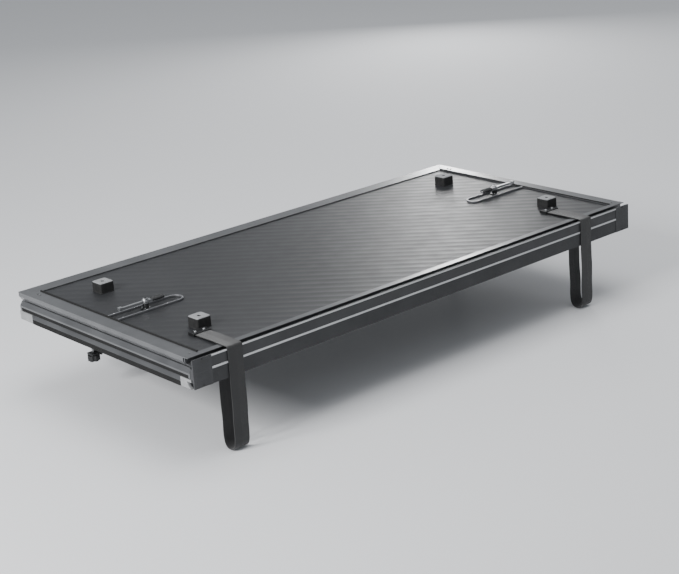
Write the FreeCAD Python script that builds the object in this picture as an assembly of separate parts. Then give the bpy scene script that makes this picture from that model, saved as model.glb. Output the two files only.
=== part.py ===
"""Hard folding tonneau cover for a long pickup bed, folded up against the cab.

Millimetres. +X is the vehicle's right, +Y points to the cab, +Z is up.
The origin is the middle of the bulkhead seal's contact face, so z = 0 is the plane
of the bed caps that the cover lies on.

Stack from the bottom: front panel (top up), rear panel (top up), middle panel
(underside up). The front and middle panels are joined by a spacer bar with one
pivot at each edge; the middle and rear panels by a plain pin hinge on the cab side.
"""
import FreeCAD
import Part
import math
import os

V = FreeCAD.Vector

# ---- driving sizes -------------------------------------------------------------
cover_width = 1650.0        # across the vehicle
panel_length = 798.0        # middle and rear panel, along the vehicle
head_overhang = 5.0         # front panel runs this much further to the cab
frame_height = 25.0         # every rail, underside to top face
fold_gap = 3.0              # between the frames of folded panels
seal_lift = 2.5             # seals stand this far out of a frame's underside

rail_width = 48.0           # side and end rails, seen from above
side_face = 13.0            # upright part of a side rail
side_chamfer = 8.0          # how far its slope leans inward
rail_wall = 3.0
slot_depth = 6.0            # panel edge held in a rail
top_lip = 2.0               # rail over the panel's top skin
bottom_lip = 3.0            # rail under the panel's bottom skin
skin = 0.8
core_wall = 4.0             # webs of the grid core
core_cell = 120.0           # rough cell size of the grid core

hinge_setback = 12.0        # rear face of the stack to a hinge rail's ledge
hinge_slot = 5.0            # panel edge held in a hinge rail
rear_setback = 13.0         # rear face of the stack to the rear panel's tail rail
pivot_in = 7.0              # rear face of the stack to the spacer's two pivots
pivot_depth = 4.0           # top face of a panel to its pivot
wing_reach = 18.5           # spacer plate beyond each pivot
plate = 3.0                 # spacer plate thickness
knuckle_radius = 3.6
pin_radius = 1.8
pin_clearance = 0.05
swing_relief = 0.8          # free ring round the spacer plate's swing
ledge = 7.0                 # hinge ledge thickness
rear_knuckle_radius = 3.2
stations = 7                # groups of knuckles along each hinge
panel_knuckle = 20.0
middle_knuckle = 30.0
knuckle_gap = 0.4
join_overlap = 0.5          # pieces of one solid run this far into each other
past = 1.0                  # cutters reach this far past a face

box_gap = 1.4               # spacer's box to the barrels beside it
box_behind_ledge = 1.0      # and to the hinge rails' ledges
ridge_above_middle = 3.0    # bright bead along the spacer's face
ridge_width = 7.0
ridge_proud = 1.4
edge_bead_width = 6.0
bead_slope = 1.5
rib_pitch = 3.0
rib_depth = 0.5
rib_slope = 0.2
rib_margin = 3.0            # plain strip under the first rib
rib_end = 1.0               # last rib to the bead
cap_width = 58.0            # moulded end caps of the spacer
cap_skin = 1.4
cap_end = 5.0

block_depth = 10.0          # corner blocks of the front panel, into the rail
rear_block_end = 56.0       # both measured from the stack's rear face
head_block_length = 64.0
side_seal_depth = 4.0
front_seal_height = 12.0
rear_seal_height = 7.5
strip_seal_width = 6.0
strip_seal_inset = 1.0
seal_clear = 0.5            # rear panel's seals over the front panel
bulkhead_seal_width = 20.0
bulkhead_seal_inset = 20.0  # seal's middle from the front panel's cab edge

pad_side = 45.0
pad_height = 30.0
pad_from_side = 162.0
pad_from_rear = 183.0
pad_edge = 3.0

channel_length = 222.0
channel_width = 50.0
channel_wall = 5.0
channel_height = 5.0
latch_behind_middle = 1.0   # latch centre line behind the panel's middle
latch_pivot_from_side = 153.0
latch_tip_from_side = 68.0
latch_grip_length = 59.0
arm_lift = 15.7             # deck to the underside of the arm's hub
arm_thickness = 7.0
arm_width = 8.0
grip_width = 17.0
hub_radius = 10.0
hub_rise = 0.5              # hub beyond the arm on each face
nose_length = 10.0
nose_width = 12.0
nose_rise = 2.0
grip_waist = 0.8            # grip's width at the hub, as a share of its end
spindle_radius = 4.0
spindle_clearance = 0.06
spindle_above = 6.0         # beyond the hub's top
post_radius = 8.0
post_flange_radius = 14.0
post_flange = 3.0
running_gap = 0.2
nut_radius = 7.5            # over its corners
nut_height = 5.0

strap_width = 46.0
strap_thickness = 2.0
strap_left_in = 130.0       # strap's centre line from the left side
strap_right_in = 200.0      # and from the right side
strap_standoff = 1.7        # webbing off the spacer's face
strap_top_gap = 0.3         # webbing above a rail's underside face
strap_end = 158.0           # webbing's end from the rear face
anchor_length = 26.0
anchor_side = 4.0           # anchor beyond the webbing on each side
anchor_gap = 0.4            # webbing to the anchor's slot, at each edge
anchor_setback = 4.0        # webbing that shows past the anchor
anchor_wall = 2.5
loop_drop = 196.0           # lowest point of the slack loop below the seat plane
loop_return = 45.0          # return strand from the rear face
loop_top = 0.5
anchor_drop = 5.0           # lower anchors below the seat plane
tab_behind = 12.0           # lower anchor behind and ahead of the return strand
tab_ahead = 10.0

clamp_from_head = 175.0     # clamp centre line from the front panel's cab edge
clamp_width = 40.0
clamp_cap_edge = 99.0       # bed cap's inner edge from the cover's side
clamp_back = 5.0
clamp_depth = 96.0
clamp_lug = 6.0
clamp_lug_inset = 6.0
clamp_foot = 4.0
clamp_foot_length = 40.0
clamp_foot_inset = 2.0      # foot's outer end inboard of the bed cap
screw_from_cap = 14.0
back_from_screw = 12.0
cap_lip = 7.0               # height of the bed cap's inner lip
jaw_arm = 10.0
jaw_nose = 3.0
jaw_nose_length = 14.0
jaw_side_gap = 3.0
jaw_clearance = 0.3         # jaw to the bracket's back
sleeve_wall = 5.0
sleeve_drop = 12.0
jaw_reach = 24.0            # under the bed cap
jaw_travel = 15.0
screw_radius = 4.0
screw_clearance = 0.08
knob_radius = 17.0
knob_height = 16.0
knob_gap = 0.5              # bracket's lug to the knob
knob_flutes = 6
flute_radius = 6.0
flute_offset = 3.0          # flute centres beyond the knob's edge

# ---- places worked out from them -------------------------------------------------
half = cover_width / 2
rear_y = bulkhead_seal_inset - head_overhang - panel_length - hinge_setback
front_z = seal_lift
rear_z = front_z + frame_height + fold_gap
middle_z = rear_z + frame_height + fold_gap
top_z = middle_z + frame_height
deck_z = top_z - bottom_lip
low_pivot_z = front_z + frame_height - pivot_depth
high_pivot_z = middle_z + pivot_depth
stack_end = hinge_setback + panel_length
head_end = stack_end + head_overhang
swing = math.hypot(pivot_in + cap_skin, wing_reach) + swing_relief
web_start = pivot_in + swing
core_start = web_start + rail_wall
hinge_rail_end = core_start + hinge_slot
plate_low = low_pivot_z - wing_reach
plate_high = high_pivot_z + wing_reach
strap_z = max(top_z, plate_high) + strap_top_gap
latch_at = (hinge_setback + stack_end) / 2 - latch_behind_middle
clamp_at = head_end - clamp_from_head
inner_x = half - rail_width
core_x = inner_x + slot_depth
rear_pin_at = stack_end + rear_knuckle_radius + knuckle_gap * 2
rear_pin_z = rear_z + frame_height + fold_gap / 2
os.makedirs("parts", exist_ok=True)


def box(x0, x1, y0, y1, z0, z1):
    """Box between two corners."""
    return Part.makeBox(x1 - x0, y1 - y0, z1 - z0, V(x0, y0, z0))


def slab(x0, x1, d0, d1, z0, z1):
    """Box whose Y is given as a distance from the stack's rear face."""
    return box(x0, x1, rear_y + d0, rear_y + d1, z0, z1)


def prism_x(points, x0, x1):
    """Outline of (distance from the rear face, z) drawn out along X."""
    outline = [V(x0, rear_y + d, z) for d, z in points]
    face = Part.Face(Part.makePolygon(outline + outline[:1]))
    return face.extrude(V(x1 - x0, 0, 0))


def prism_y(points, d0, d1):
    """Outline of (x, z) drawn out along Y."""
    outline = [V(x, rear_y + d0, z) for x, z in points]
    face = Part.Face(Part.makePolygon(outline + outline[:1]))
    return face.extrude(V(0, d1 - d0, 0))


def prism_z(points, z0, z1):
    """Outline of (x, distance from the rear face) drawn out along Z."""
    outline = [V(x, rear_y + d, z0) for x, d in points]
    face = Part.Face(Part.makePolygon(outline + outline[:1]))
    return face.extrude(V(0, 0, z1 - z0))


def rod_x(radius, x0, x1, d, z):
    """Round bar along X."""
    return Part.makeCylinder(radius, x1 - x0, V(x0, rear_y + d, z), V(1, 0, 0))


def rod_z(radius, x, d, z0, z1):
    """Round bar along Z."""
    return Part.makeCylinder(radius, z1 - z0, V(x, rear_y + d, z0), V(0, 0, 1))


def mirrored(shape):
    """The same piece on the other side of the vehicle."""
    return shape.mirror(V(0, 0, 0), V(1, 0, 0))


def join(shapes):
    """One solid out of pieces that share a face or overlap."""
    return shapes[0].multiFuse(shapes[1:]).removeSplitter()


def save(name, shape):
    """Write one sub-part."""
    shape.exportStep("parts/" + name + ".step")
    print(name, len(shape.Solids), shape.isValid(), round(shape.Volume))


def save_pair(name, left):
    """Write a left piece and its mirror image."""
    save(name + "_left", left)
    save(name + "_right", mirrored(left))


def rail_outline(chamfer):
    """Section of a rail: distance in from the outer edge, height over the underside."""
    slot = rail_width - slot_depth
    high = frame_height - top_lip
    outer = [(0, 0), (0, side_face), (chamfer, frame_height)] if chamfer else [(0, 0), (0, frame_height)]
    return outer + [(rail_width, frame_height), (rail_width, high), (slot, high),
                    (slot, bottom_lip), (rail_width, bottom_lip), (rail_width, 0)]


def chamber_outline():
    """The hollow inside a rail."""
    near = side_chamfer + rail_wall
    far = rail_width - slot_depth - rail_wall
    high = frame_height - rail_wall
    return [(near, rail_wall), (near, high), (far, high), (far, rail_wall)]


def mitre(d_end, inward, for_side):
    """Wedge taken off the left end of a rail at a corner; inward is +1 or -1 along Y."""
    reach = rail_width + block_depth
    corner = (-half, d_end)
    along = (-half, d_end + inward * reach)
    across = (-half + reach, d_end)
    opposite = (-half + reach, d_end + inward * reach)
    outline = [corner, across, opposite] if for_side else [corner, along, opposite]
    return prism_z(outline, -past, frame_height + past)


def side_rail(d0, d1, mitred):
    """Left side rail in panel heights, hollow, mitred at the ends that are named."""
    outline = [(-half + u, z) for u, z in rail_outline(side_chamfer)]
    chamber = [(-half + u, z) for u, z in chamber_outline()]
    rail = prism_y(outline, d0, d1).cut(prism_y(chamber, d0 - past, d1 + past))
    for d_end, inward in mitred:
        rail = rail.cut(mitre(d_end, inward, True))
    return rail


def side_envelope():
    """Everything between the two sloping sides of a panel."""
    left = [(-half, -past), (-half, side_face), (-half + side_chamfer, frame_height)]
    right = [(-x, z) for x, z in reversed(left)]
    return prism_y(left + right, -head_end, 2 * head_end)


def end_rail(d_end, inward, chamfer):
    """Rail across the panel with its outer edge at d_end, mitred at both corners."""
    outline = [(d_end + inward * v, z) for v, z in rail_outline(chamfer)]
    chamber = [(d_end + inward * v, z) for v, z in chamber_outline()]
    rail = prism_x(outline, -half, half).cut(prism_x(chamber, -half - past, half + past))
    wedge = mitre(d_end, inward, False)
    return rail.cut(wedge).cut(mirrored(wedge)).common(side_envelope())


def station_places():
    """Middle of each knuckle group along a hinge."""
    reach = half - cap_width - panel_knuckle
    return [reach * (2 * i / (stations - 1) - 1) for i in range(stations)]


def knuckles(spans, radius, d, z, web):
    """Barrels at the spans of every station, each with its web outline."""
    pieces = []
    for x in station_places():
        for x0, x1 in spans:
            pieces.append(rod_x(radius, x + x0, x + x1, d, z))
            pieces.append(slab(x + x0, x + x1, web[0], web[1], web[2], web[3]))
    return pieces


def outer_spans():
    """The two panel barrels of a station."""
    near = middle_knuckle / 2 + knuckle_gap
    return [(-near - panel_knuckle, -near), (near, near + panel_knuckle)]


def inner_spans():
    """The barrel between them."""
    return [(-middle_knuckle / 2, middle_knuckle / 2)]


def pin_end():
    """How far a hinge pin reaches to each side."""
    return max(station_places()) + middle_knuckle / 2 + knuckle_gap + panel_knuckle


def pin_bore(d, z):
    """The hole through every barrel of a hinge."""
    return rod_x(pin_radius + pin_clearance, -half - past, half + past, d, z)


def hinge_rail():
    """Rail with the ledge and barrels that carry the spacer, in panel heights."""
    pivot_z = frame_height - pivot_depth
    under_ledge = frame_height - ledge
    sweep = swing ** 2 - (pivot_z - top_lip) ** 2
    lip_start = pivot_in + math.sqrt(max(sweep, swing_relief ** 2)) + pin_clearance
    outline = [(hinge_setback, frame_height), (hinge_setback, under_ledge), (web_start, under_ledge),
               (web_start, top_lip), (lip_start, top_lip), (lip_start, 0), (hinge_rail_end, 0),
               (hinge_rail_end, bottom_lip), (core_start, bottom_lip), (core_start, frame_height - top_lip),
               (hinge_rail_end, frame_height - top_lip), (hinge_rail_end, frame_height)]
    rail = prism_x(outline, -half, half).common(side_envelope())
    web = (pivot_in, hinge_setback + join_overlap, under_ledge, pivot_z + knuckle_radius)
    barrels = knuckles(outer_spans(), knuckle_radius, pivot_in, pivot_z, web)
    return join([rail] + barrels).cut(pin_bore(pivot_in, pivot_z))


def rear_hinge_rail(spans):
    """Cab-side rail with barrels of the rear fold, in panel heights."""
    pin_z = frame_height + fold_gap / 2
    rail = end_rail(stack_end, -1, 0)
    web = (stack_end - join_overlap, rear_pin_at, frame_height - rear_knuckle_radius, frame_height)
    barrels = knuckles(spans, rear_knuckle_radius, rear_pin_at, pin_z, web)
    return join([rail] + barrels).cut(pin_bore(rear_pin_at, pin_z))


def core(d0, d1):
    """Grid core between the skins, in panel heights."""
    z0 = bottom_lip + skin
    z1 = frame_height - top_lip - skin
    across = max(1, round(2 * core_x / core_cell))
    along = max(1, round((d1 - d0) / core_cell))
    cell_x = (2 * core_x - core_wall) / across
    cell_d = (d1 - d0 - core_wall) / along
    cells = []
    for i in range(across):
        for j in range(along):
            x = -core_x + core_wall + i * cell_x
            d = d0 + core_wall + j * cell_d
            cells.append(slab(x, x + cell_x - core_wall, d, d + cell_d - core_wall, z0 - past, z1 + past))
    return slab(-core_x, core_x, d0, d1, z0, z1).cut(Part.makeCompound(cells))


def placed(shape, z, upside_down=False):
    """Put a piece made in panel heights where its panel lies in the stack."""
    piece = shape.mirror(V(0, 0, frame_height / 2), V(0, 0, 1)) if upside_down else shape.copy()
    piece.translate(V(0, 0, z))
    return piece


def sandwich(name, d0, d1, z, upside_down=False):
    """Core and skins of one panel."""
    top = frame_height - top_lip
    pieces = {"core": core(d0, d1),
              "top_skin": slab(-core_x, core_x, d0, d1, top - skin, top),
              "bottom_skin": slab(-core_x, core_x, d0, d1, bottom_lip, bottom_lip + skin)}
    for kind, shape in pieces.items():
        save(name + "_" + kind, placed(shape, z, upside_down))


# ---- front panel: lies on the bed, top up --------------------------------------
def corner_block_cuts():
    """Room for the two left corner blocks."""
    head = head_end - head_block_length
    low = -past
    high = frame_height + past
    return [slab(-half - past, -half + block_depth, 0, rear_block_end, low, high),
            slab(-half - past, -half + block_depth, head, head_end + past, low, high)]


def side_groove(d0, d1, height):
    """Room for the left side seal."""
    return slab(-half - past, -half + side_seal_depth, d0, d1, -past, height)


def side_seals(d0, d1, z0, z1):
    """The seals on both sides of a panel."""
    seal = slab(-half, -half + side_seal_depth, d0, d1, z0, z1)
    return Part.makeCompound([seal, mirrored(seal)])


def front_panel():
    """Core, skins, rails, corner blocks and seals of the panel that lies on the bed."""
    core_end = head_end - rail_width + slot_depth
    sandwich("front", core_start, core_end, front_z)
    notches = corner_block_cuts()
    both = notches + [mirrored(n) for n in notches]
    seal_from = rear_block_end
    seal_to = head_end - head_block_length
    groove = side_groove(seal_from, seal_to, front_seal_height)
    side = side_rail(hinge_rail_end, head_end, [(head_end, -1)]).cut(notches).cut(groove)
    save_pair("front_side_rail", placed(side, front_z))
    save("front_head_rail", placed(end_rail(head_end, -1, side_chamfer).cut(both), front_z))
    save("front_hinge_rail", placed(hinge_rail().cut(both), front_z))

    swept = rod_x(swing + swing_relief, -half - past, half + past, pivot_in, frame_height - pivot_depth)
    under_ledge = slab(-half - past, half + past, 0, head_end, -past, frame_height - ledge)
    rear_block = slab(-half, -half + block_depth, hinge_setback, rear_block_end, 0, frame_height)
    head_block = slab(-half, -half + block_depth, seal_to, head_end, 0, frame_height)
    blocks = [rear_block.cut(swept.common(under_ledge)), head_block]
    blocks = [largest(b) for b in blocks]
    save("front_corner_blocks", placed(Part.makeCompound(blocks + [mirrored(b) for b in blocks]), front_z))

    save("front_side_seals", side_seals(seal_from, seal_to, 0, front_z + front_seal_height))
    width = bulkhead_seal_width / 2
    save("bulkhead_seal", box(-inner_x, inner_x, -width, width, 0, seal_lift))


def largest(shape):
    """The biggest solid of a cut."""
    return max(shape.Solids, key=lambda s: s.Volume)


# ---- rear panel: in the middle of the stack, top up -------------------------------
def rear_panel():
    """Core, skins, rails and seals of the panel in the middle of the stack."""
    start = rear_setback
    sandwich("rear", start + rail_width - slot_depth, stack_end - rail_width + slot_depth, rear_z)
    seal_from = start + side_chamfer
    seal_to = stack_end - side_chamfer
    groove = side_groove(seal_from, seal_to, rear_seal_height)
    both = [groove, mirrored(groove)]
    corners = [(start, 1), (stack_end, -1)]
    save_pair("rear_side_rail", placed(side_rail(start, stack_end, corners).cut(groove), rear_z))
    tail = end_rail(start, 1, side_chamfer).cut(both)
    save("rear_tail_rail", placed(tail, rear_z))
    cab = rear_hinge_rail(inner_spans()).cut(both)
    save("rear_hinge_rail", placed(cab, rear_z))
    lowest = rear_z - fold_gap + seal_clear
    save("rear_side_seals", side_seals(seal_from, seal_to, lowest, rear_z + rear_seal_height))
    tail_seal = slab(-inner_x, inner_x, start + side_chamfer, start + side_chamfer + bulkhead_seal_width,
                     lowest, rear_z)
    save("tailgate_seal", tail_seal)


# ---- middle panel: on top of the stack, underside up -------------------------------
def middle_panel():
    """Core, skins, rails and seals of the panel on top of the stack."""
    sandwich("middle", core_start, stack_end - rail_width + slot_depth, middle_z, True)
    rail = side_rail(hinge_rail_end, stack_end, [(stack_end, -1)])
    save_pair("middle_side_rail", placed(rail, middle_z, True))
    save("middle_hinge_rail", placed(hinge_rail(), middle_z, True))
    save("middle_rear_rail", placed(rear_hinge_rail(outer_spans()), middle_z, True))
    edge = inner_x + strip_seal_width + strip_seal_inset
    seal_to = stack_end - rail_width
    seal = slab(-edge, -edge + strip_seal_width, hinge_rail_end, seal_to, top_z, top_z + seal_lift)
    save("middle_side_seals", Part.makeCompound([seal, mirrored(seal)]))


# ---- spacer between the front and middle panels -------------------------------------
def spacer_outline():
    """Section of the spacer: outer edge and the chamber of its box."""
    box_low = low_pivot_z + knuckle_radius + box_gap
    box_high = high_pivot_z - knuckle_radius - box_gap
    box_deep = hinge_setback - box_behind_ledge
    outline = [(0, plate_low), (0, plate_high), (plate, plate_high), (plate, box_high),
               (box_deep, box_high), (box_deep, box_low), (plate, box_low), (plate, plate_low)]
    chamber = [(plate, box_low + plate), (plate, box_high - plate),
               (box_deep - plate, box_high - plate), (box_deep - plate, box_low + plate)]
    return outline, chamber


def bead(low, high, reach):
    """Bead along the spacer's face between two heights."""
    return prism_x([(join_overlap, low), (-ridge_proud, low + bead_slope),
                    (-ridge_proud, high - bead_slope), (join_overlap, high)], -reach, reach)


def rib_grooves(low, high, reach):
    """Fine grooves between two heights of the spacer's face."""
    grooves = []
    for i in range(int((high - low) / rib_pitch)):
        z = low + i * rib_pitch
        top = z + rib_pitch / 2 + rib_slope
        outline = [(-past, z - rib_slope), (rib_depth, z + rib_pitch / 4), (-past, top)]
        grooves.append(prism_x(outline, -reach, reach))
    return Part.makeCompound(grooves)


def spacer():
    """Bar between the front and middle panels, and its two moulded end caps."""
    outline, chamber = spacer_outline()
    end = half - cap_end
    face_end = half - cap_width - knuckle_gap
    ridge_low = (low_pivot_z + high_pivot_z) / 2 + ridge_above_middle - ridge_width / 2
    pieces = [prism_x(outline, -end, end).cut(prism_x(chamber, -end - past, end + past)),
              bead(ridge_low, ridge_low + ridge_width, face_end),
              bead(plate_high - edge_bead_width, plate_high, face_end)]
    for pivot_z, toward in ((low_pivot_z, 1), (high_pivot_z, -1)):
        reach = pivot_z + toward * (knuckle_radius + box_gap + join_overlap)
        web = (plate - join_overlap, pivot_in + knuckle_radius, min(pivot_z, reach), max(pivot_z, reach))
        pieces += knuckles(inner_spans(), knuckle_radius, pivot_in, pivot_z, web)
    bar = join(pieces).cut(rib_grooves(plate_low + rib_margin, ridge_low - rib_end, face_end))
    for pivot_z in (low_pivot_z, high_pivot_z):
        bar = bar.cut(pin_bore(pivot_in, pivot_z))
    save("spacer_bar", bar)

    skin_outline = [(-cap_skin, plate_low), (-cap_skin, plate_high), (0, plate_high), (0, plate_low)]
    end_outline = skin_outline[:2] + outline[2:]
    cover = prism_x(skin_outline, -half, -half + cap_width)
    cap = join([cover, prism_x(end_outline, -half, -half + cap_end)])
    save_pair("spacer_cap", cap)


def hinge_pins():
    """The three pins."""
    end = pin_end()
    save("lower_hinge_pin", rod_x(pin_radius, -end, end, pivot_in, low_pivot_z))
    save("upper_hinge_pin", rod_x(pin_radius, -end, end, pivot_in, high_pivot_z))
    save("rear_hinge_pin", rod_x(pin_radius, -end, end, rear_pin_at, rear_pin_z))


# ---- fittings on the middle panel's underside ----------------------------------------
def bump_pads():
    """Four pads that the folded stack is tied down on."""
    places = {"rear": pad_from_rear, "cab": stack_end - pad_from_rear}
    for row, d in places.items():
        x = -half + pad_from_side
        reach = pad_side / 2
        pad = slab(x - reach, x + reach, d - reach, d + reach, deck_z, deck_z + pad_height)
        edges = [e for e in pad.Edges if e.BoundBox.ZMax > deck_z + past]
        save_pair("bump_pad_" + row, pad.makeFillet(pad_edge, edges))


def latch_channel():
    """Guide with a round end that the left latch swings over."""
    outer = channel_width / 2
    round_x = -inner_x + channel_length - outer
    solids = []
    for reach, extra in ((outer, 0), (outer - channel_wall, past)):
        low = deck_z - extra
        high = deck_z + channel_height + extra
        straight = slab(-inner_x - extra, round_x, latch_at - reach, latch_at + reach, low, high)
        solids.append(straight.fuse(rod_z(reach, round_x, latch_at, low, high)))
    save_pair("latch_channel", solids[0].cut(solids[1]).removeSplitter())


def latch_arm(x, low, high, bore):
    """Left arm: hub, bar, nose and grip."""
    tip = -half + latch_tip_from_side
    arm_low = low + hub_rise
    arm_high = arm_low + arm_thickness
    end_x = x + latch_grip_length - grip_width / 2
    reach = grip_width / 2
    waist = reach * grip_waist
    grip = [(x, latch_at - waist), (end_x, latch_at - reach), (end_x, latch_at + reach),
            (x, latch_at + waist)]
    arm = join([rod_z(hub_radius, x, latch_at, low, high),
                slab(tip, x, latch_at - arm_width / 2, latch_at + arm_width / 2, arm_low, arm_high),
                slab(tip, tip + nose_length, latch_at - nose_width / 2, latch_at + nose_width / 2,
                     arm_low, arm_high + nose_rise),
                prism_z(grip, arm_low, arm_high), rod_z(reach, end_x, latch_at, arm_low, arm_high)])
    save_pair("latch_arm", arm.cut(bore))


def latch():
    """Turn latches: guide channels, posts, arms and nuts."""
    latch_channel()
    x = -half + latch_pivot_from_side
    low = deck_z + arm_lift
    high = low + arm_thickness + 2 * hub_rise
    post = join([rod_z(post_flange_radius, x, latch_at, deck_z, deck_z + post_flange),
                 rod_z(post_radius, x, latch_at, deck_z + post_flange - join_overlap, low - running_gap),
                 rod_z(spindle_radius, x, latch_at, low - past, high + spindle_above)])
    save_pair("latch_post", post)

    bore = rod_z(spindle_radius + spindle_clearance, x, latch_at, low - past, high + spindle_above + past)
    latch_arm(x, low, high, bore)
    corners = [math.radians(60 * i) for i in range(6)]
    hexagon = [(x + nut_radius * math.cos(a), latch_at + nut_radius * math.sin(a)) for a in corners]
    nut = prism_z(hexagon, high + running_gap, high + running_gap + nut_height).cut(bore)
    save("latch_nuts", Part.makeCompound([nut, mirrored(nut)]))


# ---- storage straps ----------------------------------------------------------------
def strap_loop(side, x0, x1, face):
    """Slack loop from the face to the lower anchor; returns the return strand's outer face."""
    outer = (loop_return - face + strap_thickness / 2) / 2
    mid = face + outer
    low = -loop_drop + outer
    hollow = outer - strap_thickness
    solid = join([slab(x0, x1, face, mid, low, loop_top), slab(x0, x1, mid, mid + outer, low, -anchor_drop),
                  rod_x(outer, x0, x1, mid, low)])
    inside = join([slab(x0 - past, x1 + past, mid - hollow, mid + hollow, low, loop_top + past),
                   rod_x(hollow, x0 - past, x1 + past, mid, low)])
    save("strap_loop_" + side, solid.cut(inside))
    return mid + outer


def strap(side, x):
    """Webbing of one strap in three runs, and its upper anchor; returns the lower anchor."""
    x0 = x - strap_width / 2
    x1 = x + strap_width / 2
    face = -strap_standoff - strap_thickness
    tuck = math.sqrt((swing - swing_relief / 2) ** 2 - (pivot_in - face) ** 2)
    save("strap_upper_" + side, slab(x0, x1, face, strap_end, strap_z, strap_z + strap_thickness))
    save("strap_face_" + side, slab(x0, x1, face, -strap_standoff, low_pivot_z - tuck, high_pivot_z + tuck))
    returning = strap_loop(side, x0, x1, face)

    w0 = x0 - anchor_side
    w1 = x1 + anchor_side
    slot_top = strap_z + strap_thickness + strap_top_gap
    ahead = strap_end - anchor_setback
    bracket = slab(w0, w1, ahead - anchor_length, ahead, deck_z, slot_top + anchor_wall)
    slot = slab(x0 - anchor_gap, x1 + anchor_gap, 0, strap_end + past, strap_z - strap_top_gap, slot_top)
    save("strap_anchor_" + side, bracket.cut(slot))
    behind = returning - strap_thickness - tab_behind
    return slab(w0, w1, behind, returning + tab_ahead, -anchor_drop, front_z + bottom_lip)


def straps():
    """Both storage straps and their lower anchors."""
    tabs = [strap("left", -half + strap_left_in), strap("right", half - strap_right_in)]
    rail = slab(-half, half, 0, hinge_rail_end, 0, front_z + bottom_lip + past)
    save("strap_lower_anchors", Part.makeCompound([tab.cut(rail) for tab in tabs]))


# ---- bed clamps under the front panel -------------------------------------------------
def clamp_screw(x, top):
    """Left clamp's screw, with a fluted knob under the bracket."""
    knob_top = -clamp_depth - knob_gap
    knob_low = knob_top - knob_height
    shaft = rod_z(screw_radius, x, clamp_at, knob_top - past, top)
    knob = rod_z(knob_radius, x, clamp_at, knob_low, knob_top)
    reach = knob_radius + flute_offset
    for i in range(knob_flutes):
        angle = 2 * math.pi * i / knob_flutes
        flute_x = x + reach * math.cos(angle)
        flute_d = clamp_at + reach * math.sin(angle)
        knob = knob.cut(rod_z(flute_radius, flute_x, flute_d, knob_low - past, knob_top + past))
    save_pair("clamp_screw", join([shaft, knob]))


def clamp():
    """Bed clamps: bracket, sliding jaw and screw."""
    cap_x = -half + clamp_cap_edge
    d0 = clamp_at - clamp_width / 2
    d1 = clamp_at + clamp_width / 2
    foot_x = cap_x + clamp_foot_inset
    screw_x = cap_x + screw_from_cap
    back_x = screw_x + back_from_screw
    back_end = back_x + clamp_back
    seat_z = front_z + bottom_lip
    screw_top = seat_z - clamp_foot - knob_gap
    foot = slab(foot_x, back_x + clamp_foot_length, d0, d1, seat_z - clamp_foot, seat_z)
    back = slab(back_x, back_end, d0, d1, -clamp_depth, seat_z)
    lug_top = -clamp_depth + clamp_lug
    lug = slab(foot_x, back_end, d0 + clamp_lug_inset, d1 - clamp_lug_inset, -clamp_depth, lug_top)
    bore = rod_z(screw_radius + screw_clearance, screw_x, clamp_at, -clamp_depth - past, screw_top)
    save_pair("clamp_bracket", join([foot, back, lug]).cut(bore))

    nose_top = -cap_lip - jaw_travel
    arm_top = nose_top - jaw_nose
    arm_low = arm_top - jaw_arm
    tip = cap_x - jaw_reach
    j0 = d0 + jaw_side_gap
    j1 = d1 - jaw_side_gap
    arm = slab(tip, back_x - jaw_clearance, j0, j1, arm_low, arm_top)
    nose = slab(tip, tip + jaw_nose_length, j0, j1, arm_top, nose_top)
    sleeve = rod_z(screw_radius + sleeve_wall, screw_x, clamp_at, arm_low - sleeve_drop, arm_top)
    save_pair("clamp_jaw", join([arm, nose, sleeve]).cut(bore))
    clamp_screw(screw_x, screw_top)



front_panel()
rear_panel()
middle_panel()
spacer()
hinge_pins()
bump_pads()
latch()
straps()
clamp()
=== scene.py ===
"""Hard folding tonneau cover, folded into a stack: finishes, webbing, fasteners and studio.

Every length is in metres unless its name ends in _mm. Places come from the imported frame,
whose +X is the vehicle's right, +Y points to the cab and +Z is up.
"""

import logging
import math
from dataclasses import dataclass, field
from enum import Enum
from typing import Iterable, Sequence

import bmesh
import bpy
from mathutils import Matrix, Quaternion, Vector


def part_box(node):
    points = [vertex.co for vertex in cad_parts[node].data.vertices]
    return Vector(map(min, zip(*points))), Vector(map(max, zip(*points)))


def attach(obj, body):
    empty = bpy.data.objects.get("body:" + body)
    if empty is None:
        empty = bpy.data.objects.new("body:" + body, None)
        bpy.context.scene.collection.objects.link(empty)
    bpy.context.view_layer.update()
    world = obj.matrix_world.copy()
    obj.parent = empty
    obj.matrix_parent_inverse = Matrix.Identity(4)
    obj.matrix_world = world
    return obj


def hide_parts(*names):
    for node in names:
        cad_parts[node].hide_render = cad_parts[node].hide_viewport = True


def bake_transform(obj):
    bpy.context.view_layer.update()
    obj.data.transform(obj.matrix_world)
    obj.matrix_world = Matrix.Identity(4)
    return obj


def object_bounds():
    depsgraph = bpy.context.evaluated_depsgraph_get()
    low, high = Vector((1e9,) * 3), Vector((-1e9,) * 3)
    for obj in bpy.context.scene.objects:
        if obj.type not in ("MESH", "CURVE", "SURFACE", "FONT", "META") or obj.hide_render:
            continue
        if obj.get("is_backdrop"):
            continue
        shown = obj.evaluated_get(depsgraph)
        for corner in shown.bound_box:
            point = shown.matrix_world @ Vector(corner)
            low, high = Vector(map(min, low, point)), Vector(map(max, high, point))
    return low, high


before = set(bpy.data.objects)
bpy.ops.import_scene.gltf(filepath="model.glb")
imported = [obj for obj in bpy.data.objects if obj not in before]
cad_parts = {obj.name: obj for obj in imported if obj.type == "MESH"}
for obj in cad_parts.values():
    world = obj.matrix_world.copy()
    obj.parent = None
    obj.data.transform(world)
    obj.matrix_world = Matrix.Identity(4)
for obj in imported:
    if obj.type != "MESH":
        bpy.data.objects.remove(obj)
CAD_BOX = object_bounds()

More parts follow.
